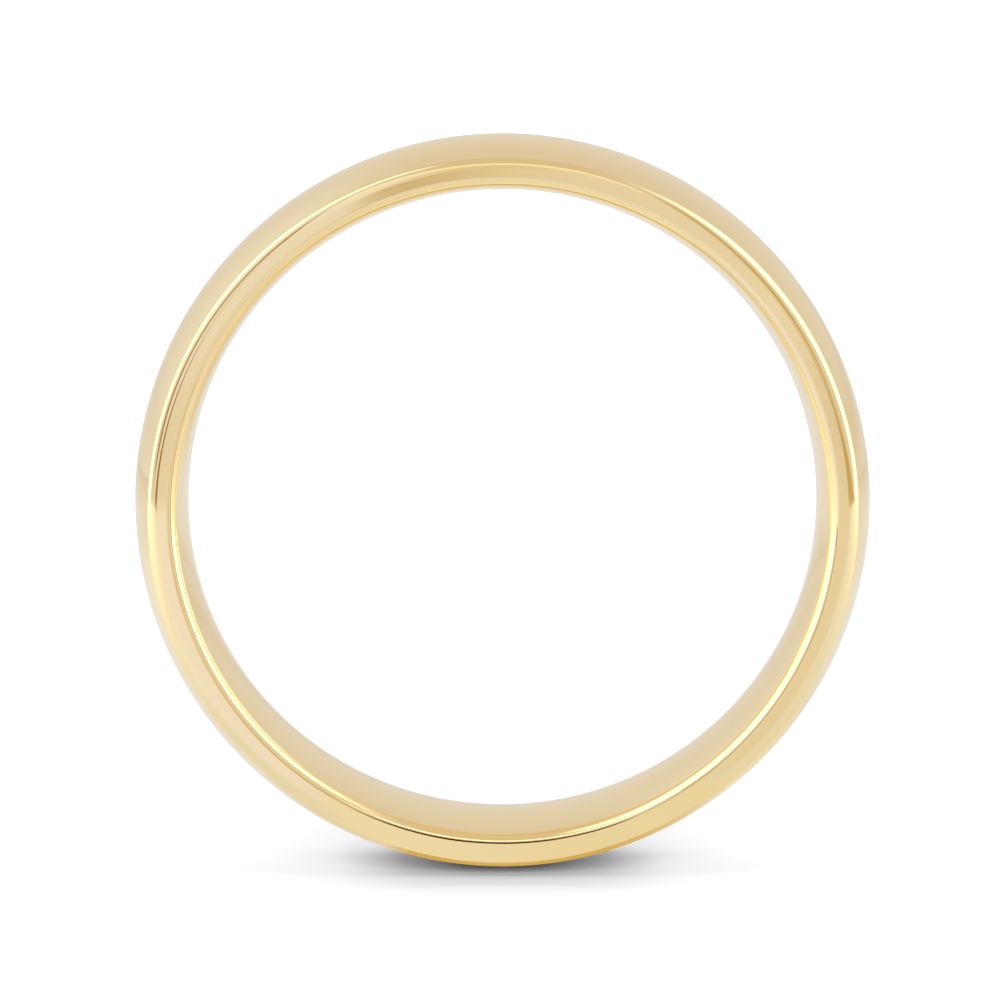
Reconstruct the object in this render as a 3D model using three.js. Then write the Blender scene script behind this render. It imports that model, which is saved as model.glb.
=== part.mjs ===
// Plain comfort-fit wedding band.
//
// The band is one seamless ring of polished yellow gold. Its section is a single
// closed outline turned once about the finger axis: a domed outside, a flat face
// on each side, and a bore that bulges gently towards the finger so that it slides
// on easily. All four corners of the section are rounded.
//
// Units are millimetres. The origin is the centre of the finger hole, halfway
// along the band's width. Y runs along the finger and Z points up, so the band
// stands on the lowest point of its dome.

import * as THREE from 'three';

// Driving dimensions.
const BORE_DIAMETER = 19.78; // narrowest part of the finger hole: US ring size 10
const BAND_WIDTH = 6.0; // along the finger, from one side face to the other
const WALL_THICKNESS = 1.68; // through the middle of the band
const DOME_RADIUS = 9.0; // curve of the outside, across the width
const BORE_CROWN_RADIUS = 13.7; // curve of the comfort-fit bore, across the width
const FACE_OUTER_RADIUS = 10.77; // outer edge of the flat on each side face

// The inner edge turns in one rounded corner. The outer edge turns in two stages:
// a soft shoulder next to the flat, and then a tighter corner into the dome.
const INNER_CORNER_RADIUS = 0.36;
const OUTER_SHOULDER_RADIUS = 0.9;
const OUTER_CORNER_RADIUS = 0.17;

// How finely the round shapes are divided.
const TURN_SEGMENTS = 96; // around the finger axis
const DOME_STEPS = 5; // odd, so that the crest is a flat facet the band can stand on
const BORE_STEPS = 7;
const SHOULDER_STEPS = 2;
const CORNER_STEPS = 5;

// Look of the metal.
const GOLD_COLOUR = 0xe6cd94;
const GOLD_ROUGHNESS = 0.12;
const GOLD_METALNESS = 1.0;

const HALF_WIDTH = BAND_WIDTH / 2;
const BORE_RADIUS = BORE_DIAMETER / 2;
const CREST_RADIUS = BORE_RADIUS + WALL_THICKNESS;

// The section is drawn in the half-plane (distance from the finger axis, height
// above mid-width) as a chain of arcs, each touching the next. Angles are measured
// from the outward direction towards +Y.
const QUARTER_TURN = Math.PI / 2;
const FULL_TURN = Math.PI * 2;

const dome = circle(CREST_RADIUS - DOME_RADIUS, 0, DOME_RADIUS);
const bore = circle(BORE_RADIUS + BORE_CROWN_RADIUS, 0, BORE_CROWN_RADIUS);
const shoulder = circle(FACE_OUTER_RADIUS, HALF_WIDTH - OUTER_SHOULDER_RADIUS, OUTER_SHOULDER_RADIUS);
const outerCorner = outerCornerCircle();
const innerCorner = innerCornerCircle();

function circle(distance, height, radius) {
  return { centre: new THREE.Vector2(distance, height), radius };
}

// The outer corner touches the dome and the shoulder from inside them, so its
// centre is where those two curves cross once they are shrunk by its radius.
function outerCornerCircle() {
  const domeReach = DOME_RADIUS - OUTER_CORNER_RADIUS;
  const shoulderReach = OUTER_SHOULDER_RADIUS - OUTER_CORNER_RADIUS;
  const line = shoulder.centre.clone().sub(dome.centre);
  const gap = line.length();
  const along = (gap ** 2 + domeReach ** 2 - shoulderReach ** 2) / (2 * gap);
  const across = Math.sqrt(domeReach ** 2 - along ** 2);
  const unit = line.divideScalar(gap);
  const distance = dome.centre.x + unit.x * along - unit.y * across;
  const height = dome.centre.y + unit.y * along + unit.x * across;
  return circle(distance, height, OUTER_CORNER_RADIUS);
}

// The inner corner touches the side face and the bore's curve from inside the metal.
function innerCornerCircle() {
  const height = HALF_WIDTH - INNER_CORNER_RADIUS;
  const reach = BORE_CROWN_RADIUS - INNER_CORNER_RADIUS;
  const distance = bore.centre.x - Math.sqrt(reach ** 2 - height ** 2);
  return circle(distance, height, INNER_CORNER_RADIUS);
}

// The direction, seen from one circle's centre, in which it touches the other.
function touchAngle(large, small) {
  return small.centre.clone().sub(large.centre).angle();
}

// Points along an arc, with both of its ends.
function arc(curve, fromAngle, toAngle, steps) {
  const points = [];
  for (let step = 0; step <= steps; step += 1) {
    const angle = fromAngle + ((toAngle - fromAngle) * step) / steps;
    const x = curve.centre.x + curve.radius * Math.cos(angle);
    const y = curve.centre.y + curve.radius * Math.sin(angle);
    points.push(new THREE.Vector2(x, y));
  }
  return points;
}

// The +Y edge of the band, from the end of the dome over the flat to the start of
// the bore.
function edgePoints(domeEnd, boreStart) {
  const shoulderStart = touchAngle(shoulder, outerCorner);
  return [
    ...arc(outerCorner, domeEnd, shoulderStart, CORNER_STEPS).slice(0, -1),
    ...arc(shoulder, shoulderStart, QUARTER_TURN, SHOULDER_STEPS),
    ...arc(innerCorner, QUARTER_TURN, boreStart, CORNER_STEPS),
  ];
}

// The whole section, anticlockwise: over the +Y edge, down the bore, back over the
// -Y edge and up the dome.
function bandSection() {
  const domeEnd = touchAngle(dome, outerCorner);
  const boreStart = touchAngle(bore, innerCorner);
  const farEdge = edgePoints(domeEnd, boreStart);
  const nearEdge = farEdge.map((point) => new THREE.Vector2(point.x, -point.y)).reverse();
  const points = [
    ...farEdge,
    ...arc(bore, boreStart, FULL_TURN - boreStart, BORE_STEPS).slice(1, -1),
    ...nearEdge,
    ...arc(dome, -domeEnd, domeEnd, DOME_STEPS).slice(1, -1),
  ];
  points.push(points[0].clone());
  return points;
}

function makeBand() {
  // Half a segment of turn puts a flat facet, not an edge, at the bottom.
  const firstAngle = Math.PI / TURN_SEGMENTS;
  const geometry = new THREE.LatheGeometry(bandSection(), TURN_SEGMENTS, firstAngle);
  const gold = new THREE.MeshStandardMaterial({
    color: GOLD_COLOUR,
    roughness: GOLD_ROUGHNESS,
    metalness: GOLD_METALNESS,
  });
  const band = new THREE.Mesh(geometry, gold);
  band.name = 'band';
  return band;
}

const weddingBand = new THREE.Group();
weddingBand.add(makeBand());

export default weddingBand;
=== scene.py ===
"""Looks for a plain comfort-fit wedding band in polished yellow gold.

The band is one lathed piece that stands on its edge on a pale floor, inside a
small studio of soft white panels. Everything is in metres, in the CAD frame:
Y is the finger axis, Z is up, and the origin is the centre of the finger hole.
"""

import math

import bpy
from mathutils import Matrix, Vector


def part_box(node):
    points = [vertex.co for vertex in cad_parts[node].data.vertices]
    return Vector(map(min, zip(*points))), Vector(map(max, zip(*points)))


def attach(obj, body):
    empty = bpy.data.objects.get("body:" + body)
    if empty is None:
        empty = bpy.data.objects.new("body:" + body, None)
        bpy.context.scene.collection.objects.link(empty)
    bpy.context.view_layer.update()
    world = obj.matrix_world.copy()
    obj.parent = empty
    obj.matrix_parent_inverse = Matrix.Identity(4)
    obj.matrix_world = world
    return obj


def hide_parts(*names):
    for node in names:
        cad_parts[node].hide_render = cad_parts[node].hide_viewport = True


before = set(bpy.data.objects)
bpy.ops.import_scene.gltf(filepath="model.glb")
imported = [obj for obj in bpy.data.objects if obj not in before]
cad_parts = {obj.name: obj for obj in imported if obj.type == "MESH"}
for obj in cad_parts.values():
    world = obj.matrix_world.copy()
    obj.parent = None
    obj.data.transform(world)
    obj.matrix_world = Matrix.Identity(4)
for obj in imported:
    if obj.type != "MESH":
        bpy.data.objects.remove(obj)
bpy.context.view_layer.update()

MM = 0.001

# The band's section, the same one that the CAD solid has.
HALF_WIDTH = (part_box("band")[1].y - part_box("band")[0].y) / 2
BORE_RADIUS = 9.89 * MM
WALL = 1.68 * MM
CREST_RADIUS = BORE_RADIUS + WALL
DOME_RADIUS = 9.0 * MM
BORE_CROWN_RADIUS = 13.7 * MM
OUTER_CORNER_RADIUS = 0.17 * MM
OUTER_SHOULDER_RADIUS = 0.9 * MM
INNER_CORNER_RADIUS = 0.36 * MM
FACE_OUTER_RADIUS = 10.77 * MM

# How finely the band is divided: round the finger axis, then along the parts of
# half its section.
TURN_SEGMENTS = 384
DOME_STEPS = 20
OUTER_CORNER_STEPS = 14
SHOULDER_STEPS = 6
FACE_STEPS = 3
INNER_CORNER_STEPS = 20
BORE_STEPS = 16

FLOOR_Z = -CREST_RADIUS


# ---------------------------------------------------------------- the band

def circles_meet(a, b, radius_a, radius_b):
    """Where two circles with centres a and b cross, to the left of the way to b."""
    gap = (b - a).length
    along = (gap ** 2 + radius_a ** 2 - radius_b ** 2) / (2 * gap)
    off = math.sqrt(radius_a ** 2 - along ** 2)
    unit = (b - a) / gap
    return a + unit * along + Vector((-unit.y, unit.x)) * off


def angle_to(start, end):
    return math.atan2(end.y - start.y, end.x - start.x)


def inner_corner_centre(bore):
    """The centre of the corner that touches the side face and the bore's curve."""
    height = HALF_WIDTH - INNER_CORNER_RADIUS
    reach = BORE_CROWN_RADIUS - INNER_CORNER_RADIUS
    return Vector((bore.x - math.sqrt(reach ** 2 - height ** 2), height))


def arc(centre, radius, start, end, steps):
    """Points and outward normals along an arc, without its last point."""
    out = []
    for i in range(steps):
        t = start + (end - start) * i / steps
        normal = Vector((math.cos(t), math.sin(t)))
        out.append((centre + normal * radius, normal))
    return out


def half_section():
    """The +Y half of the section, from mid-dome over the side face to mid-bore."""
    dome = Vector((CREST_RADIUS - DOME_RADIUS, 0))
    bore = Vector((BORE_RADIUS + BORE_CROWN_RADIUS, 0))
    shoulder = Vector((FACE_OUTER_RADIUS, HALF_WIDTH - OUTER_SHOULDER_RADIUS))
    dome_reach = DOME_RADIUS - OUTER_CORNER_RADIUS
    shoulder_reach = OUTER_SHOULDER_RADIUS - OUTER_CORNER_RADIUS
    corner_out = circles_meet(dome, shoulder, dome_reach, shoulder_reach)
    corner_in = inner_corner_centre(bore)
    up = math.pi / 2
    dome_end = angle_to(dome, corner_out)
    shoulder_start = angle_to(shoulder, corner_out)
    bore_start = angle_to(bore, corner_in)
    points = arc(dome, DOME_RADIUS, 0, dome_end, DOME_STEPS)
    points += arc(corner_out, OUTER_CORNER_RADIUS, dome_end, shoulder_start, OUTER_CORNER_STEPS)
    points += arc(shoulder, OUTER_SHOULDER_RADIUS, shoulder_start, up, SHOULDER_STEPS)
    for i in range(FACE_STEPS):
        r = FACE_OUTER_RADIUS + (corner_in.x - FACE_OUTER_RADIUS) * i / FACE_STEPS
        points.append((Vector((r, HALF_WIDTH)), Vector((0, 1))))
    points += arc(corner_in, INNER_CORNER_RADIUS, up, bore_start, INNER_CORNER_STEPS)
    points += arc(bore, BORE_CROWN_RADIUS, bore_start, math.pi, BORE_STEPS)
    points.append((Vector((BORE_RADIUS, 0)), Vector((-1, 0))))
    return points


def whole_section():
    """Both halves: points and normals, once round."""
    top = half_section()
    mirrored = []
    for point, normal in reversed(top[1:-1]):
        mirrored.append((Vector((point.x, -point.y)), Vector((normal.x, -normal.y))))
    return top + mirrored


def make_band():
    section = whole_section()
    count = len(section)
    vertices, normals, faces = [], [], []
    for turn in range(TURN_SEGMENTS):
        angle = 2 * math.pi * turn / TURN_SEGMENTS
        s, c = math.sin(angle), math.cos(angle)
        for point, normal in section:
            vertices.append((point.x * s, point.y, point.x * c))
            normals.append((normal.x * s, normal.y, normal.x * c))
        here = turn * count
        there = (turn + 1) % TURN_SEGMENTS * count
        for i in range(count):
            j = (i + 1) % count
            faces.append((here + i, there + i, there + j, here + j))
    mesh = bpy.data.meshes.new("gold_band")
    mesh.from_pydata(vertices, [], faces)
    mesh.shade_smooth()
    mesh.normals_split_custom_set_from_vertices(normals)
    band = bpy.data.objects.new("gold_band", mesh)
    bpy.context.scene.collection.objects.link(band)
    return band


# ---------------------------------------------------------------- materials

# How much gold reflects face on, in two nearby alloys, and how it tints glancing
# reflections.
PALE_ALLOY = (0.975, 0.785, 0.43, 1)
DEEP_ALLOY = (0.965, 0.765, 0.41, 1)
GLANCING_TINT = (1.0, 0.97, 0.9, 1)
ALLOY_SCALE = 160
WEAR_SCALE = 420
POLISHED_ROUGHNESS = 0.028
WORN_ROUGHNESS = 0.06
HAIRLINE_SCALE = 9000
DENT_SCALE = 900
DENT_SHARE = 0.6
RELIEF_STRENGTH = 0.02
RELIEF_DEPTH = 0.02 * MM

# The middle of a noise's values, where most of them fall.
NOISE_LOW = 0.3
NOISE_HIGH = 0.7


def new_material(name):
    material = bpy.data.materials.new(name)
    material.use_nodes = True
    material.node_tree.nodes.clear()
    return material, material.node_tree.nodes, material.node_tree.links


def ring_coordinates(nodes, links):
    """Object coordinates and the distance from the finger axis."""
    coordinates = nodes.new("ShaderNodeTexCoord")
    flatten = nodes.new("ShaderNodeVectorMath")
    flatten.operation = "MULTIPLY"
    flatten.inputs[1].default_value = (1, 0, 1)
    links.new(coordinates.outputs["Object"], flatten.inputs[0])
    distance = nodes.new("ShaderNodeVectorMath")
    distance.operation = "LENGTH"
    links.new(flatten.outputs["Vector"], distance.inputs[0])
    return coordinates.outputs["Object"], distance.outputs["Value"]


def noise(nodes, links, vector, scale, detail):
    texture = nodes.new("ShaderNodeTexNoise")
    texture.inputs["Scale"].default_value = scale
    texture.inputs["Detail"].default_value = detail
    links.new(vector, texture.inputs["Vector"])
    return texture.outputs["Fac"]


def ranged(nodes, links, value, low, high):
    """Maps the middle of a noise onto low to high."""
    node = nodes.new("ShaderNodeMapRange")
    node.inputs["From Min"].default_value = NOISE_LOW
    node.inputs["From Max"].default_value = NOISE_HIGH
    node.inputs["To Min"].default_value = low
    node.inputs["To Max"].default_value = high
    links.new(value, node.inputs["Value"])
    return node.outputs["Result"]


def alloy_colour(nodes, links, place):
    """The alloy's colour drifts a little from place to place."""
    drift = noise(nodes, links, place, ALLOY_SCALE, 2)
    colour = nodes.new("ShaderNodeMix")
    colour.data_type = "RGBA"
    colour.inputs["A"].default_value = PALE_ALLOY
    colour.inputs["B"].default_value = DEEP_ALLOY
    links.new(ranged(nodes, links, drift, 0, 1), colour.inputs["Factor"])
    return colour.outputs["Result"]


def surface_relief(nodes, links, place, distance):
    """Buffing hairlines and tiny dents. The hairlines depend on the distance from the
    axis and the place across the width, so that they run round the band."""
    split = nodes.new("ShaderNodeSeparateXYZ")
    links.new(place, split.inputs[0])
    across = nodes.new("ShaderNodeCombineXYZ")
    links.new(distance, across.inputs["X"])
    links.new(split.outputs["Y"], across.inputs["Y"])
    hairlines = noise(nodes, links, across.outputs["Vector"], HAIRLINE_SCALE, 3)
    dents = noise(nodes, links, place, DENT_SCALE, 2)
    relief = nodes.new("ShaderNodeMix")
    relief.inputs["Factor"].default_value = DENT_SHARE
    links.new(hairlines, relief.inputs["A"])
    links.new(dents, relief.inputs["B"])
    bump = nodes.new("ShaderNodeBump")
    bump.inputs["Strength"].default_value = RELIEF_STRENGTH
    bump.inputs["Distance"].default_value = RELIEF_DEPTH
    links.new(relief.outputs["Result"], bump.inputs["Height"])
    return bump.outputs["Normal"]


def polished_gold():
    """Mirror-polished yellow gold, with the hairlines, worn patches and tiny dents
    that polishing and handling leave."""
    material, nodes, links = new_material("polished_gold")
    output = nodes.new("ShaderNodeOutputMaterial")
    shader = nodes.new("ShaderNodeBsdfPrincipled")
    links.new(shader.outputs["BSDF"], output.inputs["Surface"])
    shader.inputs["Metallic"].default_value = 1.0
    shader.inputs["Specular Tint"].default_value = GLANCING_TINT
    place, distance = ring_coordinates(nodes, links)
    links.new(alloy_colour(nodes, links, place), shader.inputs["Base Color"])
    wear = noise(nodes, links, place, WEAR_SCALE, 4)
    roughness = ranged(nodes, links, wear, POLISHED_ROUGHNESS, WORN_ROUGHNESS)
    links.new(roughness, shader.inputs["Roughness"])
    relief = surface_relief(nodes, links, place, distance)
    links.new(relief, shader.inputs["Normal"])
    return material


def glow(name, colour):
    material, nodes, links = new_material(name)
    output = nodes.new("ShaderNodeOutputMaterial")
    emission = nodes.new("ShaderNodeEmission")
    emission.inputs["Color"].default_value = (*colour, 1)
    links.new(emission.outputs[0], output.inputs["Surface"])
    return material


def glow_by_vertex():
    """Emits each vertex's own colour."""
    material = glow("painted_glow", (1, 1, 1))
    nodes, links = material.node_tree.nodes, material.node_tree.links
    attribute = nodes.new("ShaderNodeAttribute")
    attribute.attribute_name = "glow"
    links.new(attribute.outputs["Color"], nodes["Emission"].inputs["Color"])
    return material


# ---------------------------------------------------------------- the studio

# The band stands on a small white table inside a tent of white cloth. What the
# band mirrors and what the camera sees behind it are separate objects, so that the
# picture keeps its clean white ground while the gold has a tent to reflect.
TENT_RADIUS = 1.0

# Light that the surfaces of the tent, the table and the cards give off.
WALL_GLOW = (0.77, 0.76, 0.79)
BACK_GLOW = (0.78, 0.765, 0.775)
ROOF_GLOW = (0.755, 0.73, 0.755)
TOP_GAP_GLOW = (0.73, 0.67, 0.57)
LEFT_SPILL_GLOW = (0.86, 0.89, 0.99)
PANEL_GLOW = (2.0, 2.0, 1.95)
DEEP_PANEL_GLOW = (1.15, 1.2, 1.3)
SEAM_GLOW = (0.73, 0.69, 0.65)
DARK_GAP_GLOW = (0.30, 0.17, 0.03)
GOLDEN_GAP_GLOW = (0.42, 0.28, 0.09)
BROWN_GAP_GLOW = (0.59, 0.46, 0.23)
TABLE_GLOW = (0.83, 0.85, 0.92)
LEFT_GLOW = (0.90, 0.93, 1.13)
RIGHT_GLOW = (0.81, 0.775, 0.74)
SIDE_GLOW = (1.55, 1.6, 1.65)
# Painted light and shade that the band throws on the table: its shade behind it, warm light and
# painted shade round its foot, its painted shadow lit gold where it stands, and a golden line
# of reflected light.
SHADE_GLOW = (0.81, 0.78, 0.73)
WARM_GLOW = (0.85, 0.84, 0.77)
LEFT_WARM_GLOW = (0.88, 0.885, 0.87)
FOOT_SHADE_GLOW = (0.81, 0.745, 0.63)
CONTACT_SHADOW_GLOW = (0.68, 0.46, 0.11)
CAUSTIC_GLOW = (0.72, 0.58, 0.31)
MIDDLE_GLOW = (0.81, 0.79, 0.80)
LEFT_APRON_GLOW = (0.87, 0.89, 1.02)
RIGHT_APRON_GLOW = (0.86, 0.87, 0.92)
PATCH_GLOW = (0.66, 0.57, 0.43)
CREAM_GLOW = (1.0, 0.98, 0.95)
TAN_GLOW = (0.78, 0.70, 0.56)
RIGHT_TAN_GLOW = (0.82, 0.81, 0.82)
FLAG_GLOW = (0.84, 0.81, 0.79)
FLAG_RIM_GLOW = (0.58, 0.46, 0.28)
STRIP_GLOW = (2.2, 2.2, 2.2)
SHIELD_GLOW = (0.96, 0.98, 1.10)
LENS_GLOW = (0.05, 0.0, 0.0)

# Where those surfaces change. A band is its low edge, its high edge, and how softly
# each of the two fades. An edge is where a change starts and where it ends. A row
# of points is its low end, its high end and its number of steps.

# The tent, in degrees: across is measured off the camera's direction, and side from
# straight up, to the left or the right.
BACK_EDGE = (150, 172)
OVERHEAD_ACROSS = (14, 120, 6, 30)
LEFT_OVERHEAD_EDGE = (8, 30)
RIGHT_OVERHEAD_EDGE = (14, 30)
ROOF_ACROSS = (122, 150, 20, 16)
ROOF_EDGE = (36, 60)
SPILL_ACROSS = (118, 150, 10, 24)
SPILL_SIDE = (30, 110, 30, 10)
LEFT_FRONT_ACROSS = (10, 24, 4, 4)
LEFT_FRONT_SIDE = (40, 140, 20, 10)
LEFT_FRONT_SHARE = 0.8
SEAM_HEIGHT = (-0.04, 0.04, 0.06, 0.1)
SEAM_EDGE = (95, 120)
LEFT_SEAM_SHARE = 0.25
RIGHT_SEAM_SHARE = 0.8
PANEL_NEAR_EDGE = 49
PANEL_FAR_EDGE = 64
PANEL_SOFTNESS = (6, 22)
PANEL_OPENING = (14, 52)
PANEL_CLOSING = (66, 90)
PANEL_CLOSES_BY = 8
LEFT_PANEL_OPENS_BY = (23, 30)
LEFT_PANEL_SIDE = (14, 150, 10, 10)
RIGHT_PANEL_OPENS_BY = (24, 46)
RIGHT_PANEL_SIDE = (34, 150, 26, 10)
DEEP_PANEL_ACROSS = (100, 130, 10, 26)
DEEP_PANEL_SIDE = (50, 135, 30, 20)
LEFT_GAP_CENTRE = 12.5
LEFT_GAP_SHIFT = 7
LEFT_GAP_SHIFT_EDGE = (60, 95)
LEFT_GAP_HALF_WIDTH = 3
LEFT_GAP_SOFTNESS = (2, 2)
LEFT_GAP_SIDE = (40, 116, 30, 8)
RIGHT_GAP_CENTRE = 10.5
RIGHT_GAP_SHIFT = 6
RIGHT_GAP_SHIFT_EDGE = (30, 65)
RIGHT_GAP_HALF_WIDTH = 4
RIGHT_GAP_SOFTNESS = (3, 4)
RIGHT_GAP_SIDE = (22, 135, 12, 10)

# The table, in millimetres.
TABLE_HALF_WIDTH = 115
TABLE_FRONT = -92
TABLE_BACK = 130
TABLE_FINE_X = (-30, 30, 120)
TABLE_FINE_Y = (-50, 80, 260)
LEFT_FLOOR_X = (-19, -4, 6, 4)
LEFT_FLOOR_Y = (-100, -18, 1, 16)
RIGHT_FLOOR_START = 7
RIGHT_FLOOR_REACH = 11
RIGHT_FLOOR_FLARE = 0.18
RIGHT_FLOOR_FLARE_FROM = -24
RIGHT_FLOOR_SOFTNESS = (3, 6)
RIGHT_FLOOR_Y = (-100, -22, 1, 12)
LEFT_SIDE_EDGE = (8, 62)
RIGHT_SIDE_EDGE = (8, 100)
SIDE_BACK_EDGE = (0, 60)
TABLE_SEAM_EDGE = (100, 126)
SHADE_X = (-1, 15, 8, 10)
SHADE_Y = (8, 60, 8, 50)
WARM_X = (-5.8, 15.5, 0.6, 1.5)
WARM_FRONT = -34
WARM_FRONT_SHIFT = 26
WARM_FRONT_SHIFT_EDGE = (4, 10)
WARM_BACK = (12, 4, 8)
WARM_TURN_EDGE = (-3, 3)
# Painted shade round the band's foot, and its painted shadow where it stands.
FOOT_SHADE_X = (-8, 8, 4, 4)
FOOT_SHADE_Y = (-1.5, 5, 2, 4)
CONTACT_SHADOW_X = (-3.5, 5.5, 0.4, 6)
CONTACT_SHADOW_Y = (-2.3, 3.5, 1.2, 3)
CAUSTIC_X = (2, 12, 4, 6)
CAUSTIC_Y = 54
CAUSTIC_SPREAD = 11
CAUSTIC_SHARE = 0.55

# The floor in front of the table, in millimetres.
APRON_X = (-54, 54, 72)
APRON_Y = (-420, TABLE_FRONT, 41)
LEFT_APRON_EDGE = (-120, -150)
RIGHT_APRON_Y = (-180, -135, 40, 24)
APRON_MIDDLE_EDGE = (-3, 5)
PATCH_X = (-6.5, 1.5, 2, 5)
PATCH_Y = (-270, -125, 20, 30)
APRON_GAPS_EDGE = (-260, -140)
DARK_GAP_X = (-30, -17, 2, 1.5)
BROWN_GAP_EDGE = (15.5, 17.5)

# The cards, in millimetres, and in degrees for the arcs.
CARD_STEPS = 24
CREAM_TAN_EDGE = (-7.5, -1.5)
CREAM_RIGHT_EDGE = (0, 4.5)
CREAM_Z = (16.5, 22, 2, 2)
CREAM_BROWN_EDGE = (9, 14)
CREAM_BROWN_SHARE = 0.6
PATCH_CARD_EDGE = (-5, 3)
ARC_CARD_Y = -8.0
ARC_CARD_RINGS = 16
ARC_CARD_SPOKES = 40
FLAG_INNER_RIM = (4, 5.6, 0.2, 0.8)
FLAG_OUTER_RIM = (7.7, 8.2, 0.3, 0.3)
FLAG_OUTER_SHARE = 0.7
STRIP_ANGLE = (156, 206, 12, 12)
SHIELD_INNER_RIM = (6.9, 7.7, 0.2, 0.3)
SHIELD_OUTER_RIM = (8.5, 9.2, 0.3, 0.3)

# What the camera sees and what lights it, in metres.
FLOOR_HALF_SIZE = 3.0
FLOOR_GREY = (0.9, 0.9, 0.9, 1)
BACKDROP_RADIUS = 2.9
BACKDROP_STEP = 10
WHITE = (1, 1, 1)
LIGHT_DISTANCE = 0.5
WATTS_PER_RADIANCE = 4.0

# The camera, and the front of its lens as the band mirrors it.
CAMERA_DISTANCE = 0.2715
CAMERA_HEIGHT = 0.0358
CAMERA_SIDE = -0.00138
AIM_X = -0.00008
FOCAL_LENGTH = 312.9
SENSOR_WIDTH = 36
CLIP_START = 0.01
CLIP_END = 20
LENS_HALF_WIDTH = 27 * MM
LENS_HALF_HEIGHT = 43 * MM
LENS_SIDE = 0.0025
LENS_POINTS = 64


def seen_by(obj, camera=False, glossy=False, diffuse=False, shadow=False):
    obj.visible_camera = camera
    obj.visible_glossy = glossy
    obj.visible_diffuse = diffuse
    obj.visible_shadow = shadow
    obj.visible_transmission = False
    obj.visible_volume_scatter = False


def stage_mesh(name, vertices, faces, material):
    mesh = bpy.data.meshes.new(name)
    mesh.from_pydata(vertices, [], faces)
    mesh.materials.append(material)
    obj = bpy.data.objects.new(name, mesh)
    bpy.context.scene.collection.objects.link(obj)
    return obj


def grid_faces(rows, columns):
    """Faces of a grid of points stored row by row."""
    faces = []
    for i in range(rows - 1):
        for j in range(columns - 1):
            a = i * columns + j
            faces.append((a, a + 1, a + columns + 1, a + columns))
    return faces


def painted_sheet(name, rows, columns, place, shade):
    """A sheet of points that only reflections see. place and shade give a point's
    position in metres and its glow, from its column and its row."""
    vertices, colours = [], []
    for row in rows:
        for column in columns:
            vertices.append(place(column, row))
            colours.append(shade(column, row))
    sheet = stage_mesh(name, vertices, grid_faces(len(rows), len(columns)), painted_glow)
    attribute = sheet.data.color_attributes.new("glow", "FLOAT_COLOR", "POINT")
    for i, colour in enumerate(colours):
        attribute.data[i].color = (*colour, 1)
    seen_by(sheet, glossy=True)


def spread(low, high, steps):
    """Evenly spaced values with both ends."""
    return [low + (high - low) * i / steps for i in range(steps + 1)]


def smooth_step(low, high, value):
    t = min(max((value - low) / (high - low), 0), 1)
    return t * t * (3 - 2 * t)


def within(value, low, high, soft_low, soft_high):
    """1 between low and high, fading to 0 across each soft edge."""
    rise = smooth_step(low - soft_low / 2, low + soft_low / 2, value)
    fall = smooth_step(high - soft_high / 2, high + soft_high / 2, value)
    return rise * (1 - fall)


def mix(colour, other, share):
    return tuple(a + (b - a) * share for a, b in zip(colour, other))


def direction(theta, phi):
    """Unit vector theta degrees off -Y (towards the camera), turned phi degrees
    clockwise from straight up as the camera sees it."""
    t, p = math.radians(theta), math.radians(phi)
    return Vector((math.sin(t) * math.sin(p), -math.cos(t), math.sin(t) * math.cos(p)))


def floor_point(x, y):
    return (x * MM, y * MM, FLOOR_Z)


# The tent.

def cloth_shade(theta, side, right):
    """The tent's cloth: pale, darker overhead, and brighter on the left."""
    colour = mix(WALL_GLOW, BACK_GLOW, smooth_step(*BACK_EDGE, theta))
    overhead_edge = RIGHT_OVERHEAD_EDGE if right else LEFT_OVERHEAD_EDGE
    overhead = within(theta, *OVERHEAD_ACROSS) * (1 - smooth_step(*overhead_edge, side))
    colour = mix(colour, TOP_GAP_GLOW, overhead)
    roof = within(theta, *ROOF_ACROSS) * (1 - smooth_step(*ROOF_EDGE, side))
    colour = mix(colour, ROOF_GLOW, roof)
    if right:
        return colour
    spill = within(theta, *SPILL_ACROSS) * within(side, *SPILL_SIDE)
    colour = mix(colour, LEFT_SPILL_GLOW, spill)
    front = within(theta, *LEFT_FRONT_ACROSS) * within(side, *LEFT_FRONT_SIDE)
    return mix(colour, LEFT_GLOW, LEFT_FRONT_SHARE * front)


def seam_share(theta, phi):
    """The seam at the height of the finger axis, behind the band."""
    height = direction(theta, phi).z
    share = within(height, *SEAM_HEIGHT) * smooth_step(*SEAM_EDGE, theta)
    return share * (RIGHT_SEAM_SHARE if phi > 0 else LEFT_SEAM_SHARE)


def panel_share(theta, side, opens_by, side_band):
    """A bright panel. Its near and far edges open out on the way down from the top."""
    open_out = smooth_step(*PANEL_OPENING, side)
    closing = PANEL_CLOSES_BY * smooth_step(*PANEL_CLOSING, side)
    near_edge = PANEL_NEAR_EDGE - opens_by[0] * open_out + closing
    far_edge = PANEL_FAR_EDGE + opens_by[1] * open_out
    return within(theta, near_edge, far_edge, *PANEL_SOFTNESS) * within(side, *side_band)


def left_panel_shade(colour, theta, side):
    """The left panel, and the golden gap between it and the camera."""
    panel = panel_share(theta, side, LEFT_PANEL_OPENS_BY, LEFT_PANEL_SIDE)
    colour = mix(colour, PANEL_GLOW, panel)
    centre = LEFT_GAP_CENTRE + LEFT_GAP_SHIFT * smooth_step(*LEFT_GAP_SHIFT_EDGE, side)
    low, high = centre - LEFT_GAP_HALF_WIDTH, centre + LEFT_GAP_HALF_WIDTH
    gap = within(theta, low, high, *LEFT_GAP_SOFTNESS) * within(side, *LEFT_GAP_SIDE)
    return mix(colour, GOLDEN_GAP_GLOW, gap)


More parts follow.
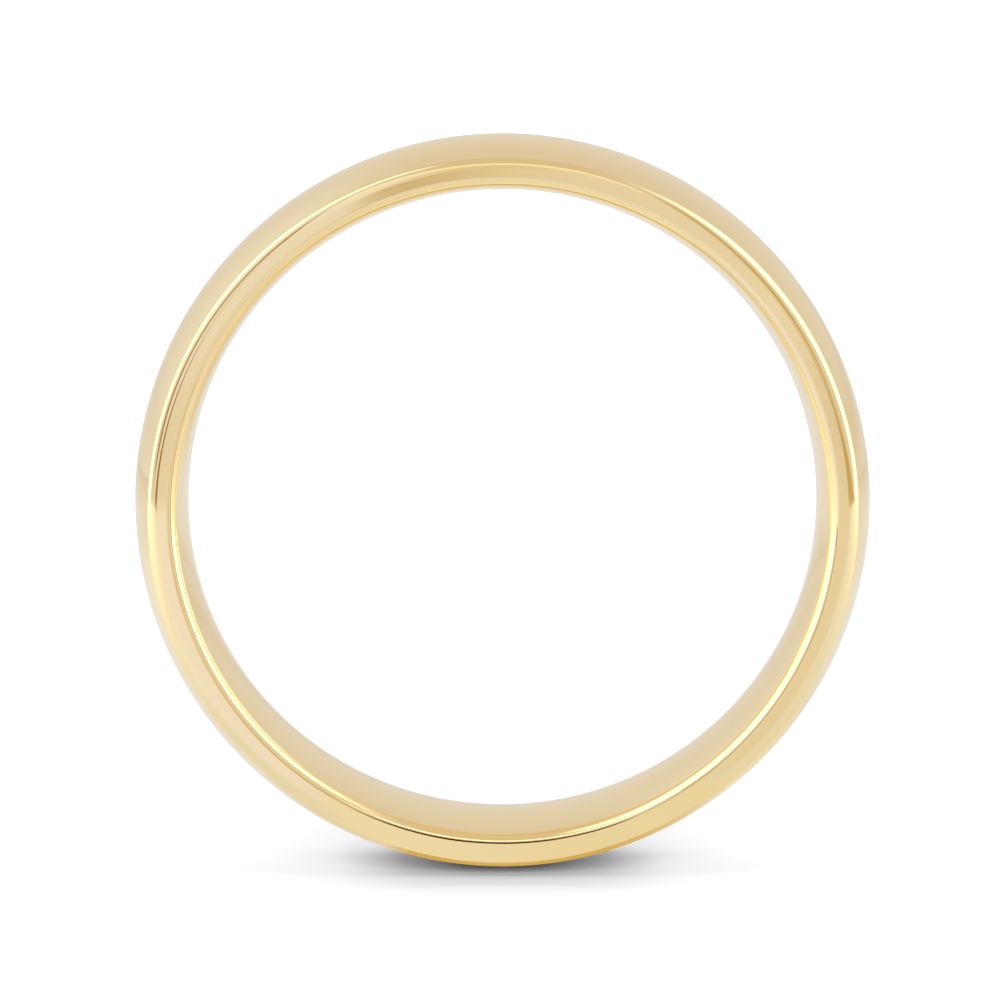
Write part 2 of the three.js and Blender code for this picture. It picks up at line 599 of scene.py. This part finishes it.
def right_panel_shade(colour, theta, side):
    """The right panel, a dimmer one behind it, and the brown gap in front."""
    deep = within(theta, *DEEP_PANEL_ACROSS) * within(side, *DEEP_PANEL_SIDE)
    colour = mix(colour, DEEP_PANEL_GLOW, deep)
    panel = panel_share(theta, side, RIGHT_PANEL_OPENS_BY, RIGHT_PANEL_SIDE)
    colour = mix(colour, PANEL_GLOW, panel)
    nearer_top = 1 - smooth_step(*RIGHT_GAP_SHIFT_EDGE, side)
    centre = RIGHT_GAP_CENTRE + RIGHT_GAP_SHIFT * nearer_top
    low, high = centre - RIGHT_GAP_HALF_WIDTH, centre + RIGHT_GAP_HALF_WIDTH
    gap = within(theta, low, high, *RIGHT_GAP_SOFTNESS) * within(side, *RIGHT_GAP_SIDE)
    return mix(colour, BROWN_GAP_GLOW, gap)


def tent_shade(phi, theta):
    """Brightness of the tent in one direction, in degrees as direction() takes them."""
    side = abs(phi)
    right = phi > 0
    colour = cloth_shade(theta, side, right)
    colour = mix(colour, SEAM_GLOW, seam_share(theta, phi))
    if right:
        return right_panel_shade(colour, theta, side)
    return left_panel_shade(colour, theta, side)


def tent_point(phi, theta):
    return direction(theta, phi) * TENT_RADIUS


# The table and the floor in front of it.

def lit_table_shade(x, y):
    """The table, lit from both sides and darker at the back."""
    left = within(x, *LEFT_FLOOR_X) * within(y, *LEFT_FLOOR_Y)
    colour = mix(TABLE_GLOW, LEFT_GLOW, left)
    reach = RIGHT_FLOOR_REACH + RIGHT_FLOOR_FLARE * (RIGHT_FLOOR_FLARE_FROM - y)
    right = within(x, RIGHT_FLOOR_START, reach, *RIGHT_FLOOR_SOFTNESS)
    colour = mix(colour, RIGHT_GLOW, right * within(y, *RIGHT_FLOOR_Y))
    side_edge = RIGHT_SIDE_EDGE if x > 0 else LEFT_SIDE_EDGE
    outer = smooth_step(*side_edge, abs(x)) * (1 - smooth_step(*SIDE_BACK_EDGE, y))
    colour = mix(colour, SIDE_GLOW, outer)
    return mix(colour, SEAM_GLOW, smooth_step(*TABLE_SEAM_EDGE, y))


def table_shade(x, y):
    """Brightness of the table at a point given in millimetres. On it are painted the
    band's shadow and light: a painted shade and a golden line of reflected light behind
    it, warm light and a painted shade round its foot, and a painted shadow, lit gold
    by the band, where it stands."""
    colour = lit_table_shade(x, y)
    colour = mix(colour, SHADE_GLOW, within(x, *SHADE_X) * within(y, *SHADE_Y))
    front = WARM_FRONT + WARM_FRONT_SHIFT * smooth_step(*WARM_FRONT_SHIFT_EDGE, x)
    warm = within(x, *WARM_X) * within(y, front, *WARM_BACK)
    warm_glow = mix(LEFT_WARM_GLOW, WARM_GLOW, smooth_step(*WARM_TURN_EDGE, x))
    colour = mix(colour, warm_glow, warm)
    colour = mix(colour, FOOT_SHADE_GLOW, within(x, *FOOT_SHADE_X) * within(y, *FOOT_SHADE_Y))
    colour = mix(colour, CONTACT_SHADOW_GLOW, within(x, *CONTACT_SHADOW_X) * within(y, *CONTACT_SHADOW_Y))
    across = math.exp(-((y - CAUSTIC_Y) / CAUSTIC_SPREAD) ** 2)
    return mix(colour, CAUSTIC_GLOW, CAUSTIC_SHARE * (across * within(x, *CAUSTIC_X)))


def apron_shade(x, y):
    """Brightness of the floor in front of the table, in millimetres: pale in the
    middle, with a brown gap on each side."""
    left = mix(MIDDLE_GLOW, LEFT_APRON_GLOW, smooth_step(*LEFT_APRON_EDGE, y))
    right = mix(MIDDLE_GLOW, RIGHT_APRON_GLOW, within(y, *RIGHT_APRON_Y))
    colour = mix(left, right, smooth_step(*APRON_MIDDLE_EDGE, x))
    colour = mix(colour, PATCH_GLOW, within(x, *PATCH_X) * within(y, *PATCH_Y))
    nearness = smooth_step(*APRON_GAPS_EDGE, y)
    colour = mix(colour, DARK_GAP_GLOW, nearness * within(x, *DARK_GAP_X))
    return mix(colour, BROWN_GAP_GLOW, nearness * smooth_step(*BROWN_GAP_EDGE, x))


def make_tent_and_table():
    painted_sheet("tent", range(181), range(-180, 181), tent_point, tent_shade)
    xs = [-TABLE_HALF_WIDTH, *spread(*TABLE_FINE_X), TABLE_HALF_WIDTH]
    ys = [TABLE_FRONT, *spread(*TABLE_FINE_Y), TABLE_BACK]
    painted_sheet("table_in_reflections", ys, xs, floor_point, table_shade)
    xs, ys = spread(*APRON_X), spread(*APRON_Y)
    painted_sheet("apron_in_reflections", ys, xs, floor_point, apron_shade)


# The cards.

def make_card(name, y, low, high, left, right, shade):
    """An upright card facing the band, seen only in its reflections. Millimetres;
    shade gives its brightness at (x, z)."""
    def place(x, z):
        return (x * MM, y * MM, z * MM)

    zs, xs = spread(low, high, CARD_STEPS), spread(left, right, CARD_STEPS)
    painted_sheet(name, zs, xs, place, shade)


def cream_card_shade(x, z):
    colour = mix(LEFT_GLOW, TAN_GLOW, smooth_step(*CREAM_TAN_EDGE, x))
    colour = mix(colour, RIGHT_TAN_GLOW, smooth_step(*CREAM_RIGHT_EDGE, x))
    colour = mix(colour, CREAM_GLOW, within(z, *CREAM_Z))
    return mix(colour, BROWN_GAP_GLOW, CREAM_BROWN_SHARE * smooth_step(*CREAM_BROWN_EDGE, x))


def patch_card_shade(x, z):
    return mix(PATCH_GLOW, RIGHT_GLOW, smooth_step(*PATCH_CARD_EDGE, x))


def arc_point(angle, radius):
    turn = math.radians(angle)
    place = Vector((math.sin(turn), 0, math.cos(turn))) * radius
    place.y = ARC_CARD_Y
    return place * MM


def make_arc_card(name, inner, outer, start, end, shade):
    """A flat arc in front of the band, narrower than its bore, seen only in the
    band's reflections. Radii are in millimetres, angles in degrees clockwise from
    the top; shade gives its brightness at (angle, radius)."""
    radii = spread(inner, outer, ARC_CARD_RINGS)
    angles = spread(start, end, ARC_CARD_SPOKES)
    painted_sheet(name, radii, angles, arc_point, shade)


# The flag is a painted shade in the highlight on the band's inner edge, lower left, with
# painted dark lines at its rims.
def flag_shade(angle, radius):
    inner_rim = within(radius, *FLAG_INNER_RIM)
    outer_rim = within(radius, *FLAG_OUTER_RIM)
    return mix(FLAG_GLOW, FLAG_RIM_GLOW, max(inner_rim, FLAG_OUTER_SHARE * outer_rim))


# The strip is a painted highlight along the band's inner edge at the bottom.
def strip_shade(angle, radius):
    return mix(TOP_GAP_GLOW, STRIP_GLOW, within(angle, *STRIP_ANGLE))


# The shield is a painted shade with painted dark lines beside the highlight on the band's inner
# edge, lower right.
def shield_shade(angle, radius):
    rims = max(within(radius, *SHIELD_INNER_RIM), within(radius, *SHIELD_OUTER_RIM))
    return mix(SHIELD_GLOW, GOLDEN_GAP_GLOW, rims)


def make_cards():
    make_card("cream_card_in_reflections", y=-46, low=7.0, high=23,
              left=-13, right=13, shade=cream_card_shade)
    make_card("patch_card_in_reflections", y=-230, low=FLOOR_Z / MM, high=6,
              left=-7, right=4.5, shade=patch_card_shade)
    make_arc_card("flag_in_reflections", inner=4.2, outer=8.9,
                  start=200, end=284, shade=flag_shade)
    make_arc_card("strip_in_reflections", inner=7.1, outer=7.6,
                  start=150, end=207, shade=strip_shade)
    make_arc_card("shield_in_reflections", inner=7.1, outer=9.5,
                  start=100, end=150, shade=shield_shade)


def make_lens():
    """The camera's own dark lens, which the band mirrors in one short line."""
    centre = Vector((LENS_SIDE, -CAMERA_DISTANCE, CAMERA_HEIGHT))
    toward = -centre.normalized()
    across = toward.cross(Vector((0, 0, 1))).normalized()
    up = across.cross(toward)
    rim = []
    for i in range(LENS_POINTS):
        angle = 2 * math.pi * i / LENS_POINTS
        sideways = across * math.cos(angle) * LENS_HALF_WIDTH
        rim.append(centre + sideways + up * math.sin(angle) * LENS_HALF_HEIGHT)
    face = tuple(range(LENS_POINTS))
    lens = stage_mesh("lens_in_reflections", rim, [face], glow("lens_glow", LENS_GLOW))
    seen_by(lens, glossy=True)


# What the camera sees.

def make_floor():
    size = FLOOR_HALF_SIZE
    corners = [(-size, -size), (size, -size), (size, size), (-size, size)]
    vertices = [(x, y, FLOOR_Z) for x, y in corners]
    material, nodes, links = new_material("pale_floor")
    output = nodes.new("ShaderNodeOutputMaterial")
    diffuse = nodes.new("ShaderNodeBsdfDiffuse")
    diffuse.inputs["Color"].default_value = FLOOR_GREY
    links.new(diffuse.outputs[0], output.inputs["Surface"])
    floor = stage_mesh("floor", vertices, [(0, 1, 2, 3)], material)
    seen_by(floor, camera=True)


def make_backdrop():
    """White everywhere that the floor doesn't reach."""
    world = bpy.data.worlds.new("white_world")
    bpy.context.scene.world = world
    world.use_nodes = True
    background = world.node_tree.nodes["Background"]
    background.inputs["Color"].default_value = (*WHITE, 1)
    background.inputs["Strength"].default_value = 0.0
    thetas = range(0, 181, BACKDROP_STEP)
    phis = range(0, 361, BACKDROP_STEP)
    vertices = [direction(theta, phi) * BACKDROP_RADIUS for theta in thetas for phi in phis]
    faces = grid_faces(len(thetas), len(phis))
    backdrop = stage_mesh("backdrop", vertices, faces, glow("white_glow", WHITE))
    seen_by(backdrop, camera=True)


def make_light(name, azimuth, elevation, width, height, radiance):
    """A soft box at LIGHT_DISTANCE, facing the band's foot. Azimuth 0 is the camera's
    side and 90 is +X; only the floor is lit by it."""
    az, el = math.radians(azimuth), math.radians(elevation)
    data = bpy.data.lights.new(name, "AREA")
    data.shape = "RECTANGLE"
    data.size = width
    data.size_y = height
    data.energy = radiance * width * height * WATTS_PER_RADIANCE
    light = bpy.data.objects.new(name, data)
    toward = Vector((math.sin(az) * math.cos(el), -math.cos(az) * math.cos(el), math.sin(el)))
    light.location = toward * LIGHT_DISTANCE + Vector((0, 0, FLOOR_Z))
    light.rotation_euler = toward.to_track_quat("Z", "Y").to_euler()
    bpy.context.scene.collection.objects.link(light)
    light.visible_glossy = False
    light.visible_camera = False


def make_lights():
    make_light("front_light", azimuth=0, elevation=15, width=0.75, height=0.26, radiance=7.75)
    make_light("back_light", azimuth=180, elevation=8, width=0.75, height=0.13, radiance=9.9)
    make_light("back_top_light", azimuth=180, elevation=35, width=0.6, height=0.3, radiance=1.4)
    make_light("right_light", azimuth=90, elevation=40, width=0.75, height=0.17, radiance=3.25)
    make_light("left_light", azimuth=-90, elevation=40, width=0.75, height=0.17, radiance=3.25)


def make_camera():
    data = bpy.data.cameras.new("camera")
    data.lens = FOCAL_LENGTH
    data.sensor_width = SENSOR_WIDTH
    data.clip_start = CLIP_START
    data.clip_end = CLIP_END
    camera = bpy.data.objects.new("camera", data)
    camera.location = (CAMERA_SIDE, -CAMERA_DISTANCE, CAMERA_HEIGHT)
    aim = Vector((AIM_X, 0, 0)) - camera.location
    camera.rotation_euler = aim.to_track_quat("-Z", "Y").to_euler()
    bpy.context.scene.collection.objects.link(camera)
    bpy.context.scene.camera = camera


# ---------------------------------------------------------------- put together

band = make_band()
band.data.materials.append(polished_gold())
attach(band, "root")
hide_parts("band")

painted_glow = glow_by_vertex()
make_tent_and_table()
make_cards()
make_lens()
make_floor()
make_backdrop()
make_lights()
make_camera()

scene = bpy.context.scene
scene.view_settings.view_transform = "Standard"
scene.view_settings.look = "None"
scene.cycles.caustics_reflective = False
